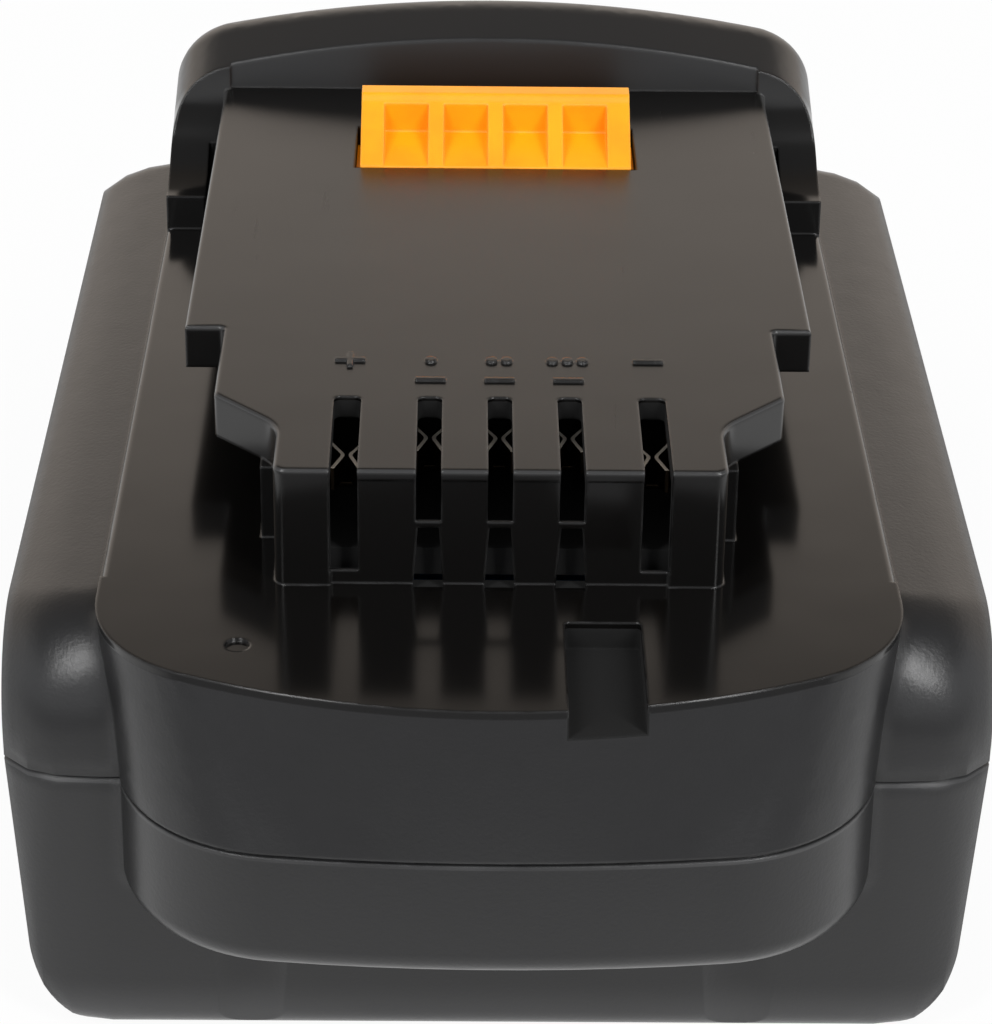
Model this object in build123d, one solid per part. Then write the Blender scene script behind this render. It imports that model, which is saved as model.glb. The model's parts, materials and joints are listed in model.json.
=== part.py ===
from build123d import *
import os
from math import acos, atan2, cos, pi, radians, sin, sqrt, tan

# Millimetres, +Z up. The terminals face -Y and the origin is under the middle of the pack.

# cells, two layers of five across the pack, which set the size of the casing
cell_radius = 9.15
cell_length = 65.0
cell_columns = 5
cell_gap = 0.1  # to the next column
layer_gap = 0.1
cell_floor_gap = 0.15  # to the casing below and above
cell_front_gap = 0.9  # to the front wall
cell_cap_height = 0.8
cell_cap_radius = 3.2
cell_groove_depth = 0.7
cell_groove_from_end = 3.0
cell_edge_round = 0.8

# cell holders
holder_depth = 10.5
holder_bore_clearance = 0.15
holder_end_margin = 0.3
holder_corner_gap = 0.65  # its rounded corners are this much tighter than a cell
end_plate_thickness = 1.5
link_window_margin = 0.5
bay_clearance = 0.2

# nickel links and insulating sheets
link_thickness = 0.3
link_half_width = 4.0
link_reach = 4.5  # past the cell centres, up and down
weld_slit_width = 0.8
weld_slit_length = 5.0
sheet_thickness = 0.3
sheet_low_reach = 6.8  # below the lower cells' middle
sheet_high_reach = 3.7  # above the upper cells' middle
sheet_margin = 2.0
sheet_hole_radius = 1.7

# casing, outer form
wall = 2.0
rear_space = 6.0  # behind the cells, for the latch and the rear screws
side_space = 4.7  # beside the sheets, for the leads
upper_depth = 14.0  # from the deck down to the seam of the casing halves
side_draft = 1.5  # the side walls lean in this far between seam and base
end_draft = 1.4
base_corner_round = 8.5  # seen from the front
base_edge_round = 2.6  # seen from the side
shoulder_width = 8.0  # beside the deck
facet_width = 4.6  # the part of the shoulder that bends down
facet_bend_width = 2.2  # its steeper edge
shoulder_drop = 0.7  # from the deck's edge to the shoulder
facet_drop = 1.3
facet_bend_drop = 2.0
side_drop = 3.1
front_round = 9.0
rear_round = 6.0
facet_front_back = 0.2  # the shoulder's front stands back this far at the facet
facet_bend_front_back = 1.1
side_front_back = 3.2
facet_rear_back = 0.1
facet_bend_rear_back = 0.7
side_rear_back = 2.2
facet_base_lift = 0.3
facet_bend_base_lift = 1.0
side_base_lift = 2.2
seam_groove = 0.35
seam_gap = 0.3
lip_height = 1.2
lip_clearance = 0.15
lip_outer_inset = 1.1

# nose, the bulge below the terminals
nose_reach = 12.2  # ahead of the shoulders
nose_under_depth = 11.5  # below the seam
nose_side_draft = 1.5
nose_deck_setback = 0.6
nose_seam_bow_radius = 165.0
nose_deck_bow_radius = 62.0
nose_seam_corner_radius = 14.5
nose_deck_corner_radius = 12.7
nose_base_round = 2.6
deck_edge_round = 0.6

# terminal slots
power_slot_x = 12.8
signal_slot_x = 5.87
power_slot_width = 2.3
signal_slot_width = 2.05
slot_length = 13.2
slot_corner_round = 0.6
power_slot_sill = 1.3  # above the deck
signal_slot_depth = 4.9  # below the plate's top
signal_bridge = 0.6
bridge_thickness = 0.7  # of the bridges and sills, front to rear
low_slot_sink = 0.4  # into the deck
low_slot_top_width = 1.7
low_slot_base_width = 2.5
low_slot_reach = 0.5

# slide rail plate and terminal tower
plate_rise = 10.8  # above the deck
plate_thickness = 4.0
plate_roof = 2.0  # what is left above the hollow tower
tower_setback = 19.9  # from the nose's tip
tower_side_margin = 5.7  # outside the power slots
tower_wall = 1.8
tower_head_length = 8.0
neck_step = 1.5  # the neck is wider than the tower's front
chamfer_length = 5.5
plate_step = 5.6  # the plate is wider than the tower
ear_setback = 13.0
ear_step = 3.4  # the ears are wider than the plate
chamfer_round = 4.0
plate_edge_round = 0.4
plate_corner_round = 1.0
panel_recess = 0.4
panel_margin = 1.1  # outside the power slots' middle
panel_top_margin = 1.0

# raised marks behind the slots
mark_height = 0.25
mark_stroke = 0.5
mark_size = 2.6
mark_gap = 6.8  # behind the slots
second_mark_gap = 3.1
dot_pitch = 1.3
gate_mark_x = -21.0
gate_mark_setback = 10.4
gate_mark_radius = 1.0
gate_mark_depth = 0.3

# key notch in the front edge of the deck
notch_low_x = 5.25
notch_high_x = 11.4
notch_length = 14.3
notch_depth = 2.5
notch_wall = 1.6
notch_round = 0.4

# hood at the rear, with a wing at each side of the plate
hood_depth = 12.4
hood_crown_rise = 4.9  # above the plate
hood_slope_share = 0.30  # of its crown towards the rear
hood_lean = radians(10)  # of its front wall
hood_side_gap = 0.1  # inside the deck's edge
hood_crown_radius = 140.0
hood_corner_radius = 6.6
hood_rear_round = 5.5
hood_wall = 2.2
wing_length = 11.3
wing_rise = 3.6  # above the deck
wing_gap = 1.5  # outside the plate's ears
wing_cove_radius = 10.7
pillar_overlap = 0.6  # inside the plate's ears
pillar_length = 3.6
hood_edge_round = 0.5

# screws and their bosses
screw_radius = 1.5
screw_length = 18.0
screw_head_radius = 2.4
screw_head_height = 2.4
screw_socket_width = 2.0
screw_socket_depth = 1.2
screw_seat_depth = 8.7  # below the seam
screw_clearance = 0.15
thread_clearance = 0.05
front_screw_inset = 10.6  # from the nose's side
front_screw_setback = 9.0
rear_screw_inset = 4.0  # from the deck's side
rear_screw_setback = 4.4
boss_radius = 3.4
scallop_radius = 5.6
scallop_depth = 1.3

# board, tray and what is on them
tray_thickness = 1.3
tray_lift = 0.1  # above the cells
tray_front_overlap = 5.3  # ahead of this the block carries the board
tray_rear_reach = 8.9  # behind the latch springs
tray_peg_radius = 1.1
tray_peg_x = 12.6
tray_peg_front_gap = 4.7
tray_peg_rear_gap = 2.5
board_lift = 0.6
board_thickness = 1.6
board_side_gap = 0.6
board_front_gap = 0.1
board_rear_gap = 2.2
board_neck_length = 6.6
peg_clearance = 0.1
transistor_size = 6.2
transistor_height = 2.3
transistor_x = 8.5
transistor_gap = 9.2  # behind the terminal block
transistor_tab = 1.6
chip_size = 7.0
chip_height = 1.1
chip_setback = 16.0  # from the board's rear edge
shunt_length = 6.4
shunt_width = 3.2
shunt_height = 0.8
shunt_x = 9.5
shunt_setback = 7.5
capacitor_radius = 2.0
capacitor_height = 4.5
capacitor_x = -11.0
capacitor_setback = 12.0
capacitor_pitch = 5.2
capacitor_count = 2
thermistor_radius = 1.3
thermistor_leg_radius = 0.3
thermistor_leg_gap = 1.2
thermistor_offset = 7.5  # from the middle of the cell that it touches

# terminal block and contact clips
block_front_gap = 0.5
block_side_gap = 0.6
block_length = 18.1
block_height = 6.9
block_skirt = 1.4
block_slot_width = 3.9
block_slot_floor = 0.9
block_back_wall = 1.2
clip_leaf_thickness = 0.35
clip_leaf_top = 5.0  # above the clip's base
clip_leaf_height = 2.1
clip_base_thickness = 0.4
clip_length = 9.0
clip_flare_length = 2.4
clip_front_gap = 0.95
clip_pinch_gap = 0.08
clip_rear_gap = 1.35
clip_bend_round = 0.9
power_clip_setback = 6.8  # behind the tower's front
signal_clip_setback = 10.0

# release latch
latch_travel = 5.0
latch_half_width = 13.15
latch_setback = 10.4  # ahead of the hood
latch_length = 9.8
latch_ramp_length = 6.7
latch_ramp_rise = 4.1  # above the plate
latch_rise = 4.7
latch_top_round = 0.6
latch_pocket_count = 4
latch_pocket_length = 6.5
latch_end_rib = 2.25
latch_inner_rib = 1.5
latch_pocket_floor_rise = 1.0
latch_slot_gap = 0.5
latch_slide_gap = 0.3
latch_stop_gap = 0.1
latch_plate_margin = 2.25  # the part below the plate is wider than the catch
latch_plate_reach = 2.7
latch_plate_thickness = 2.3
latch_apron_thickness = 2.0
latch_apron_drop = 7.0  # below the deck
latch_pad_inset = 0.9
latch_pad_drop = 0.4
latch_pad_gap = 0.3
latch_pad_rib_count = 4
latch_pad_rib_depth = 0.5
latch_guide_thickness = 1.6
latch_guide_rise = 1.0
spring_inset = 4.5  # from the catch's side
spring_setback = 4.7  # behind the catch's front
spring_pocket_radius = 3.1
spring_pocket_roof = 1.3  # left above the pocket, below the plate's top
spring_post_radius = 1.5
spring_post_height = 2.6
spring_radius = 2.3  # to the middle of the wire
spring_wire_radius = 0.3
spring_turns = 5

# leads
power_lead_radius = 1.2
sense_lead_radius = 0.6
lead_bend = 1.7
lead_side_gap = 0.7  # outside the sheets
lead_run_drop = 3.25  # below the top of the cells
lead_rise_inset = 1.4  # inside the board's edge
lead_tray_gap = 0.6
lead_notch_half_width = 1.6
lead_notch_gap = 0.4

# foam pad behind the cells
foam_side_margin = 17.5  # inside the casing's base
foam_floor_gap = 2.0
foam_seam_gap = 1.0
foam_gap = 0.05

overrun = 5.0  # how far a cut runs past what it cuts
touch = 0.01  # two corners nearer than this are one

# the columns each link joins, and where each lead starts and which valley it crosses in
left_link_columns = {"link_pack_negative": (0, 0), "link_series_2": (1, 2), "link_series_4": (3, 4)}
right_link_columns = {"link_series_1": (0, 1), "link_series_3": (2, 3), "link_pack_positive": (4, 4)}
left_lead_columns = {"negative_lead": (0, 0), "sense_lead_2": (1.5, 1), "sense_lead_4": (3.5, 2)}
right_lead_columns = {"sense_lead_1": (0.5, 0), "sense_lead_3": (2.25, 1), "positive_lead": (4, 2)}

# places and heights worked out from the sizes above
cell_pitch = 2 * cell_radius + cell_gap
layer_pitch = 2 * cell_radius + layer_gap
stack_base = wall + cell_floor_gap
low_cell_z = stack_base + cell_radius
high_cell_z = low_cell_z + layer_pitch
stack_top = high_cell_z + cell_radius
deck_height = stack_top + cell_floor_gap + wall
seam_height = deck_height - upper_depth
nose_base_height = seam_height - nose_under_depth
plate_height = deck_height + plate_rise
plate_under = plate_height - plate_thickness
tower_roof = plate_height - plate_roof

stack_length = (cell_columns - 1) * cell_pitch + 2 * cell_radius
pack_length = nose_reach + wall + cell_front_gap + stack_length + rear_space + wall
rear_y = pack_length / 2
nose_front_y = -pack_length / 2
shoulder_front_y = nose_front_y + nose_reach
stack_front_y = shoulder_front_y + wall + cell_front_gap
stack_rear_y = stack_front_y + stack_length
tower_front_y = nose_front_y + tower_setback
slot_rear_y = tower_front_y + slot_length
chamfer_end_y = tower_front_y + tower_head_length
chamfer_start_y = chamfer_end_y + chamfer_length
ear_front_y = chamfer_start_y + ear_setback
hood_front_y = rear_y - hood_depth
wing_front_y = hood_front_y - wing_length
latch_rear_y = hood_front_y - latch_setback
latch_front_y = latch_rear_y - latch_length
latch_plate_front_y = latch_front_y - latch_plate_reach
spring_y = latch_front_y + spring_setback

cell_end_x = cell_length / 2
link_outer_x = cell_end_x + link_thickness
holder_outer_x = cell_end_x + end_plate_thickness
holder_inner_x = holder_outer_x - holder_depth
sheet_outer_x = holder_outer_x + sheet_thickness
side_half_width = sheet_outer_x + side_space + wall
base_half_width = side_half_width - side_draft
deck_half_width = side_half_width - shoulder_width
facet_half_width = side_half_width - facet_width
facet_bend_half_width = side_half_width - facet_bend_width
nose_seam_half_width = deck_half_width - nose_side_draft
tower_half_width = power_slot_x + tower_side_margin
neck_half_width = tower_half_width + neck_step
plate_half_width = tower_half_width + plate_step
ear_half_width = plate_half_width + ear_step
hood_half_width = deck_half_width - hood_side_gap
wing_inner_x = ear_half_width + wing_gap
pillar_inner_x = ear_half_width - pillar_overlap
front_screw_x = nose_seam_half_width - front_screw_inset
front_screw_y = nose_front_y + front_screw_setback
rear_screw_x = deck_half_width - rear_screw_inset
rear_screw_y = rear_y - rear_screw_setback
screw_seat_height = seam_height - screw_seat_depth
latch_plate_half_width = latch_half_width + latch_plate_margin
latch_pad_half_width = latch_plate_half_width - latch_pad_inset
latch_pad_low_z = deck_height - latch_pad_drop
spring_x = latch_half_width - spring_inset

block_half_width = tower_half_width - tower_wall - block_side_gap
block_front_y = tower_front_y + tower_wall + block_front_gap
block_rear_y = block_front_y + block_length
tray_base = stack_top + tray_lift
spring_base = tray_base + tray_thickness
spring_pocket_top = plate_height - spring_pocket_roof
board_base = spring_base + board_lift
board_top = board_base + board_thickness
board_half_width = neck_half_width - tower_wall - board_side_gap
board_front_y = block_front_y + block_skirt + board_front_gap
board_rear_y = latch_plate_front_y - board_rear_gap
clip_base_z = board_top + block_slot_floor
foam_half_width = base_half_width - foam_side_margin
lead_side_x = sheet_outer_x + power_lead_radius + lead_side_gap
lead_run_height = stack_top - lead_run_drop
lead_rise_x = board_half_width - lead_rise_inset
tray_half_width = lead_rise_x - power_lead_radius - lead_tray_gap


# The middle of a column of cells, or with 0.5 more, of the valley behind it.
def column_y(column):
    return stack_front_y + cell_radius + column * cell_pitch


# The middle between a column and the next one.
def valley_y(column):
    return column_y(column) + cell_pitch / 2


def box(x0, x1, y0, y1, z0, z1):
    block = Box(x1 - x0, y1 - y0, z1 - z0, align=(Align.MIN, Align.MIN, Align.MIN))
    return Pos(x0, y0, z0) * block


def wide_box(half_width, y0, y1, z0, z1):
    return box(-half_width, half_width, y0, y1, z0, z1)


def rod(x, y, z0, z1, radius):
    rod_align = (Align.CENTER, Align.CENTER, Align.MIN)
    return Pos(x, y, z0) * Cylinder(radius, z1 - z0, align=rod_align)


# A closed face in XY whose corners are arcs of the given radii, or sharp where it is zero.
def rounded_outline(points, radii):
    corners = []
    for i, point in enumerate(points):
        here = Vector(*point)
        back = (Vector(*points[i - 1]) - here).normalized()
        ahead = (Vector(*points[(i + 1) % len(points)]) - here).normalized()
        if radii[i] == 0:
            corners.append((here, here, here))
            continue
        half_angle = acos(back.dot(ahead)) / 2
        run = radii[i] / tan(half_angle)
        centre = here + (back + ahead).normalized() * (radii[i] / sin(half_angle))
        middle = centre + (here - centre).normalized() * radii[i]
        corners.append((here + back * run, middle, here + ahead * run))
    edges = []
    for i, (start, middle, end) in enumerate(corners):
        previous_end = corners[i - 1][2]
        if (start - previous_end).length > touch:
            edges.append(Line(previous_end, start))
        if radii[i] != 0:
            edges.append(ThreePointArc(start, middle, end))
    return make_face(edges)


def plan_prism(points, radii, z0, z1):
    return extrude(Pos(0, 0, z0) * rounded_outline(points, radii), z1 - z0)


# An outline of (y, z) points carried along X.
def side_prism(points, radii, x0, x1):
    return extrude(Pos(x0, 0, 0) * (Plane.YZ * rounded_outline(points, radii)), x1 - x0)


# An outline of (x, z) points carried along Y.
def front_prism(points, radii, y0, y1):
    return extrude(Pos(0, y1, 0) * (Plane.XZ * rounded_outline(points, radii)), y1 - y0)


# Right-hand points, then the same ones on the left in reverse.
def mirrored_points(points):
    return points + [(-x, y) for x, y in reversed(points)]


def both_sides(shape):
    return shape + mirror(shape, about=Plane.YZ)


# casing, outer form

# The pack's outline seen from the side, at one distance from its middle.
def body_station(x, top_drop, front_back, rear_back, base_lift, inset):
    front = shoulder_front_y + front_back + inset
    rear = rear_y - rear_back - inset
    base = base_lift + inset
    top = deck_height - top_drop - inset
    points = [
        (front + end_draft, base),
        (front, seam_height),
        (front, top),
        (rear, top),
        (rear, seam_height),
        (rear - end_draft, base),
    ]
    base_round = base_edge_round - inset
    radii = [base_round, 0, front_round - inset, rear_round - inset, 0, base_round]
    return Pos(x, 0, 0) * (Plane.YZ * rounded_outline(points, radii))


# The body without nose, deck and tower. It is smaller all round by the inset.
def body_form(inset):
    stations = [
        body_station(0, shoulder_drop, 0, 0, 0, inset),
        body_station(deck_half_width, shoulder_drop, 0, 0, 0, inset),
        body_station(facet_half_width, facet_drop, facet_front_back, facet_rear_back, facet_base_lift, inset),
        body_station(facet_bend_half_width - inset / 2, facet_bend_drop, facet_bend_front_back,
                     facet_bend_rear_back, facet_bend_base_lift, inset),
        body_station(side_half_width - inset, side_drop, side_front_back, side_rear_back,
                     side_base_lift, inset),
    ]
    half = loft(stations[:2], ruled=True)
    for here, outward in zip(stations[1:], stations[2:]):
        half += loft([here, outward], ruled=True)
    section = mirrored_points([
        (base_half_width - inset, inset),
        (side_half_width - inset, seam_height),
        (side_half_width - inset, deck_height),
    ])
    corner = base_corner_round - inset
    radii = [corner, 0, 0, 0, 0, corner]
    section_form = front_prism(section, radii, shoulder_front_y - overrun, rear_y + overrun)
    return both_sides(half) & section_form


# The nose seen from above: straight sides, round corners and a slightly bowed front.
def nose_outline(half_width, front, bow_radius, corner_radius, back, z):
    corner_x = half_width - corner_radius
    bow_y = front + bow_radius
    corner_y = bow_y - sqrt((bow_radius - corner_radius) ** 2 - corner_x ** 2)
    stretch = bow_radius / (bow_radius - corner_radius)
    tangent_x = corner_x * stretch
    tangent_y = bow_y + (corner_y - bow_y) * stretch
    half_angle = atan2(tangent_y - corner_y, tangent_x - corner_x) / 2
    middle_x = corner_x + corner_radius * cos(half_angle)
    middle_y = corner_y + corner_radius * sin(half_angle)
    edges = [
        Line((half_width, back), (half_width, corner_y)),
        ThreePointArc((half_width, corner_y), (middle_x, middle_y), (tangent_x, tangent_y)),
        ThreePointArc((tangent_x, tangent_y), (0, front), (-tangent_x, tangent_y)),
        ThreePointArc((-tangent_x, tangent_y), (-middle_x, middle_y), (-half_width, corner_y)),
        Line((-half_width, corner_y), (-half_width, back)),
        Line((-half_width, back), (half_width, back)),
    ]
    return Pos(0, 0, z) * make_face(edges)


# How far back the nose runs inside the body.
def nose_rear_y():
    return shoulder_front_y + front_round


def seam_nose_outline(inset, back, z):
    return nose_outline(nose_seam_half_width - inset, nose_front_y + inset, nose_seam_bow_radius - inset,
                        nose_seam_corner_radius - inset, back, z)


def deck_nose_outline(inset, back, z):
    front = nose_front_y + nose_deck_setback + inset
    return nose_outline(deck_half_width - inset, front, nose_deck_bow_radius - inset,
                        nose_deck_corner_radius - inset, back, z)


# The nose above the seam, or the whole deck where it runs on to the rear.
def upper_nose(inset, back):
    return loft([seam_nose_outline(inset, back, seam_height), deck_nose_outline(inset, back, deck_height)],
                ruled=True)


def lower_nose(inset):
    height = seam_height - nose_base_height - inset
    block = extrude(seam_nose_outline(inset, nose_rear_y(), nose_base_height + inset), height)
    under_edges = block.edges().group_by(Axis.Z)[0]
    front_edges = [edge for edge in under_edges if edge.center().Y < nose_rear_y() - touch]
    return fillet(front_edges, nose_base_round - inset / 2)


# Body and nose together, without the deck's step.
def casing_form(inset):
    return body_form(inset) + upper_nose(inset, nose_rear_y()) + lower_nose(inset)


# The flat deck, a little above the shoulders.
def deck_block():
    back = rear_y - rear_round
    block = upper_nose(0, back)
    top_edges = [edge for edge in block.edges().group_by(Axis.Z)[-1] if edge.center().Y < back - touch]
    return fillet(top_edges, deck_edge_round)


# The plate that the tool's rails grip, with its ears and the top of the terminal tower.
def rail_plate():
    right = [
        (ear_half_width, hood_front_y + hood_wall),
        (ear_half_width, ear_front_y),
        (plate_half_width, ear_front_y),
        (plate_half_width, chamfer_start_y),
        (tower_half_width, chamfer_end_y),
        (tower_half_width, tower_front_y),
    ]
    radii = [0, 0, plate_edge_round, plate_corner_round, chamfer_round, plate_corner_round]
    plate = plan_prism(mirrored_points(right), radii + radii[::-1], plate_under, plate_height)
    return fillet(plate.edges().group_by(Axis.Z)[-1], plate_edge_round)


def tower_block():
    neck = wide_box(neck_half_width, chamfer_end_y, hood_front_y + hood_wall, deck_height - wall, plate_under)
    front = wide_box(tower_half_width, tower_front_y, chamfer_end_y, deck_height - wall, plate_under)
    corners = front.edges().filter_by(Axis.Z).group_by(Axis.Y)[0]
    return neck + fillet(corners, plate_corner_round)


# The arch seen from the front, with its crown at the given height.
def hood_outline(inset, y, crown_height):
    half_width = hood_half_width - inset
    corner = hood_corner_radius - inset
    crown = hood_crown_radius - inset
    top = crown_height - inset
    corner_x = half_width - corner
    corner_z = top - crown + sqrt((crown - corner) ** 2 - corner_x ** 2)
    stretch = crown / (crown - corner)
    tangent_x = corner_x * stretch
    tangent_z = top - crown + (corner_z - top + crown) * stretch
    half_angle = atan2(tangent_z - corner_z, tangent_x - corner_x) / 2
    middle_x = corner_x + corner * cos(half_angle)
    middle_z = corner_z + corner * sin(half_angle)
    base = deck_height - side_drop - wall
    edges = [
        Line((half_width, base), (half_width, corner_z)),
        ThreePointArc((half_width, corner_z), (middle_x, middle_z), (tangent_x, tangent_z)),
        ThreePointArc((tangent_x, tangent_z), (0, top), (-tangent_x, tangent_z)),
        ThreePointArc((-tangent_x, tangent_z), (-middle_x, middle_z), (-half_width, corner_z)),
        Line((-half_width, corner_z), (-half_width, base)),
        Line((-half_width, base), (half_width, base)),
    ]
    return Pos(0, y, 0) * (Plane.XZ * make_face(edges))


# The arch carried back along its slope, between two places.
def hood_arch(inset, front, rear):
    slanted = Vector(0, 1, hood_slope_share).normalized()
    crown = plate_height + hood_crown_rise + hood_slope_share * (front - hood_front_y)
    arch = extrude(hood_outline(inset, front, crown), (rear - front) / slanted.Y, dir=slanted)
    low = deck_height - wall + inset
    return arch & wide_box(side_half_width, front, rear, low, deck_height + pack_length)


# What lies ahead of the hood's leaning front wall.
def hood_front_wedge(inset):
    foot = hood_front_y + inset / cos(hood_lean)
    top = plate_height + hood_rear_round + hood_crown_rise
    lean = (top - plate_height) * tan(hood_lean)
    points = [(foot - overrun, plate_height), (foot, plate_height), (foot + lean, top), (foot - overrun, top)]
    return side_prism(points, [0, 0, 0, 0], -side_half_width, side_half_width)


def hood_form(inset):
    arch = hood_arch(inset, hood_front_y + inset, rear_y - inset)
    rear_edges = [edge for edge in arch.edges()
                  if abs(edge.center().Y - rear_y + inset) < touch and edge.center().Z > deck_height + wall]
    arch = fillet(rear_edges, hood_rear_round - inset)
    arch -= hood_front_wedge(inset)
    if inset > 0:
        return arch
    front_edges = [edge for edge in arch.edges()
                   if edge.center().Y < hood_front_y + hood_wall and edge.center().Z > plate_height + wall
                   and abs(edge.tangent_at(0.5).X) > 1 / 2]
    return fillet(front_edges, hood_edge_round)


# The hood's sides, which run forward beside the plate and sweep up into the arch.
def wing_pair():
    wing_height = deck_height + wing_rise
    cove_z = wing_height + wing_cove_radius
    low = hood_front_y - wing_cove_radius
    diagonal = wing_cove_radius / sqrt(2)
    base = deck_height - wall
    depth_y = hood_front_y + hood_wall
    edges = [
        Line((wing_front_y, base), (wing_front_y, wing_height)),
        Line((wing_front_y, wing_height), (low, wing_height)),
        ThreePointArc((low, wing_height), (low + diagonal, cove_z - diagonal), (hood_front_y, cove_z)),
        Line((hood_front_y, cove_z), (depth_y, cove_z)),
        Line((depth_y, cove_z), (depth_y, base)),
        Line((depth_y, base), (wing_front_y, base)),
    ]
    face = Plane.YZ * make_face(edges)
    wing = extrude(Pos(wing_inner_x, 0, 0) * face, hood_half_width - wing_inner_x)
    pillar = extrude(Pos(pillar_inner_x, 0, 0) * face, wing_inner_x - pillar_inner_x)
    pillar &= box(0, side_half_width, hood_front_y - pillar_length, rear_y, base, deck_height + pack_length)
    return both_sides(wing + pillar) & hood_arch(0, wing_front_y - touch, depth_y + touch)


# casing, inner form

# The space of the cell stack seen from the side.
def holder_outline(margin):
    front = stack_front_y - holder_end_margin - margin
    rear = stack_rear_y + holder_end_margin + margin
    low = stack_base - margin * cell_floor_gap / bay_clearance
    high = stack_top + margin * cell_floor_gap / bay_clearance
    corner = cell_radius - holder_corner_gap
    return [(front, low), (rear, low), (rear, high), (front, high)], [corner, corner, corner, corner]


def cell_bay():
    points, radii = holder_outline(bay_clearance)
    half = sheet_outer_x + bay_clearance
    return side_prism(points, radii, -half, half)


def tower_hollow():
    front_half = tower_half_width - tower_wall
    neck_half = neck_half_width - tower_wall
    low = stack_top - cell_radius
    front = wide_box(front_half, tower_front_y + tower_wall, chamfer_end_y + tower_wall, low, tower_roof)
    neck = wide_box(neck_half, chamfer_end_y + tower_wall, rear_y - wall, low, tower_roof)
    return front + neck


def lip_band(low_inset, high_inset, z0, z1):
    slab = wide_box(side_half_width, nose_front_y - overrun, rear_y + overrun, z0, z1)
    return (casing_form(low_inset) & slab) - casing_form(high_inset)


def screw_places():
    return [
        (front_screw_x, front_screw_y),
        (-front_screw_x, front_screw_y),
        (rear_screw_x, rear_screw_y),
        (-rear_screw_x, rear_screw_y),
    ]


def screw_bosses(z0, z1):
    bosses = Part()
    for x, y in screw_places():
        bosses += rod(x, y, z0, z1, boss_radius)
    return bosses


# Deep head holes from below, shaft holes to the seam, thread holes above it.
def screw_holes():
    holes = Part()
    for x, y in screw_places():
        holes += rod(x, y, -overrun, screw_seat_height, screw_head_radius + screw_clearance)
        holes += rod(x, y, 0, seam_height, screw_radius + screw_clearance)
        thread_end = screw_seat_height + screw_length + screw_clearance
        holes += rod(x, y, 0, thread_end, screw_radius + thread_clearance)
    return holes


# A terminal slot, open at the top and the front.
def slot_cut(x, width, floor):
    y0 = tower_front_y - overrun
    cut = box(x - width / 2, x + width / 2, y0, slot_rear_y, floor, plate_height + overrun)
    corners = cut.edges().filter_by(Axis.Z).group_by(Axis.Y)[-1]
    return fillet(corners, slot_corner_round)


# The room behind a slot's sill or bridge, which leaves it thin.
def slot_recess(x, width, low_z):
    front = tower_front_y + bridge_thickness
    return box(x - width / 2, x + width / 2, front, tower_front_y + 2 * tower_wall, low_z, plate_under)


# The lower opening of a signal slot, wider towards the deck.
def low_slot_cut(x):
    top = low_slot_top_width / 2
    base = low_slot_base_width / 2
    high_z = plate_height - signal_slot_depth - signal_bridge
    low_z = deck_height - low_slot_sink
    points = [(x - base, low_z), (x + base, low_z), (x + top, high_z), (x - top, high_z)]
    return front_prism(points, [0, 0, 0, 0], tower_front_y - low_slot_reach, tower_front_y + 2 * tower_wall)


def terminal_cuts():
    low_z = deck_height - low_slot_sink
    cuts = Part()
    for x in (-power_slot_x, power_slot_x):
        cuts += slot_cut(x, power_slot_width, deck_height + power_slot_sill)
        cuts += slot_recess(x, power_slot_width, low_z)
    for x in (-signal_slot_x, 0, signal_slot_x):
        cuts += slot_cut(x, signal_slot_width, plate_height - signal_slot_depth)
        cuts += slot_recess(x, signal_slot_width, low_z)
        cuts += low_slot_cut(x)
    panel = wide_box(power_slot_x + panel_margin, tower_front_y - panel_recess, tower_front_y + panel_recess,
                     deck_height, plate_height - panel_top_margin)
    return cuts + panel


def bar_mark(x, y, length_x, length_y):
    return box(x - length_x / 2, x + length_x / 2, y - length_y / 2, y + length_y / 2,
               plate_height - mark_height, plate_height + mark_height)


# A plus, a minus and one, two and three dots behind the slots.
def plate_marks():
    mark_y = slot_rear_y + mark_gap
    marks = bar_mark(-power_slot_x, mark_y, mark_size, mark_stroke)
    marks += bar_mark(-power_slot_x, mark_y, mark_stroke, mark_size)
    marks += bar_mark(power_slot_x, mark_y, mark_size, mark_stroke)
    for count, x in enumerate((-signal_slot_x, 0, signal_slot_x), start=1):
        for i in range(count):
            dot_x = x + (i - (count - 1) / 2) * dot_pitch
            marks += rod(dot_x, mark_y, plate_height - mark_height, plate_height + mark_height, mark_stroke)
        marks += bar_mark(x, slot_rear_y + second_mark_gap, mark_size, mark_stroke)
    return marks


def key_notch():
    floor = deck_height - notch_depth
    rear = nose_front_y + notch_length
    cut = box(notch_low_x, notch_high_x, nose_front_y - overrun, rear, floor, deck_height + overrun)
    corners = cut.edges().filter_by(Axis.Z).group_by(Axis.Y)[-1]
    return fillet(corners, notch_round)


# The wall round the notch inside the nose.
def key_notch_pocket():
    floor = deck_height - notch_depth - notch_wall
    rear = nose_front_y + notch_length + notch_wall
    pocket = box(notch_low_x - notch_wall, notch_high_x + notch_wall, nose_front_y, rear, floor, deck_height)
    return pocket & upper_nose(wall / 2, nose_rear_y())


def latch_slot():
    half = latch_half_width + latch_slot_gap
    return wide_box(half, latch_front_y - latch_slide_gap, latch_rear_y + latch_slide_gap,
                    tower_roof - plate_roof, plate_height + overrun)


def pad_window():
    half = latch_pad_half_width + latch_slot_gap
    low = latch_pad_low_z - latch_travel - latch_slot_gap
    cut = wide_box(half, rear_y - 2 * wall, rear_y + overrun, low, tower_roof - latch_stop_gap)
    return fillet(cut.edges().filter_by(Axis.Y), latch_slot_gap)


# Two ribs under the plate that keep the latch upright.
def latch_guides():
    inner = latch_plate_half_width + latch_slide_gap
    guide = box(inner, inner + latch_guide_thickness, latch_plate_front_y, latch_rear_y,
                deck_height + latch_guide_rise, tower_roof + plate_roof / 2)
    return both_sides(guide)


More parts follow.
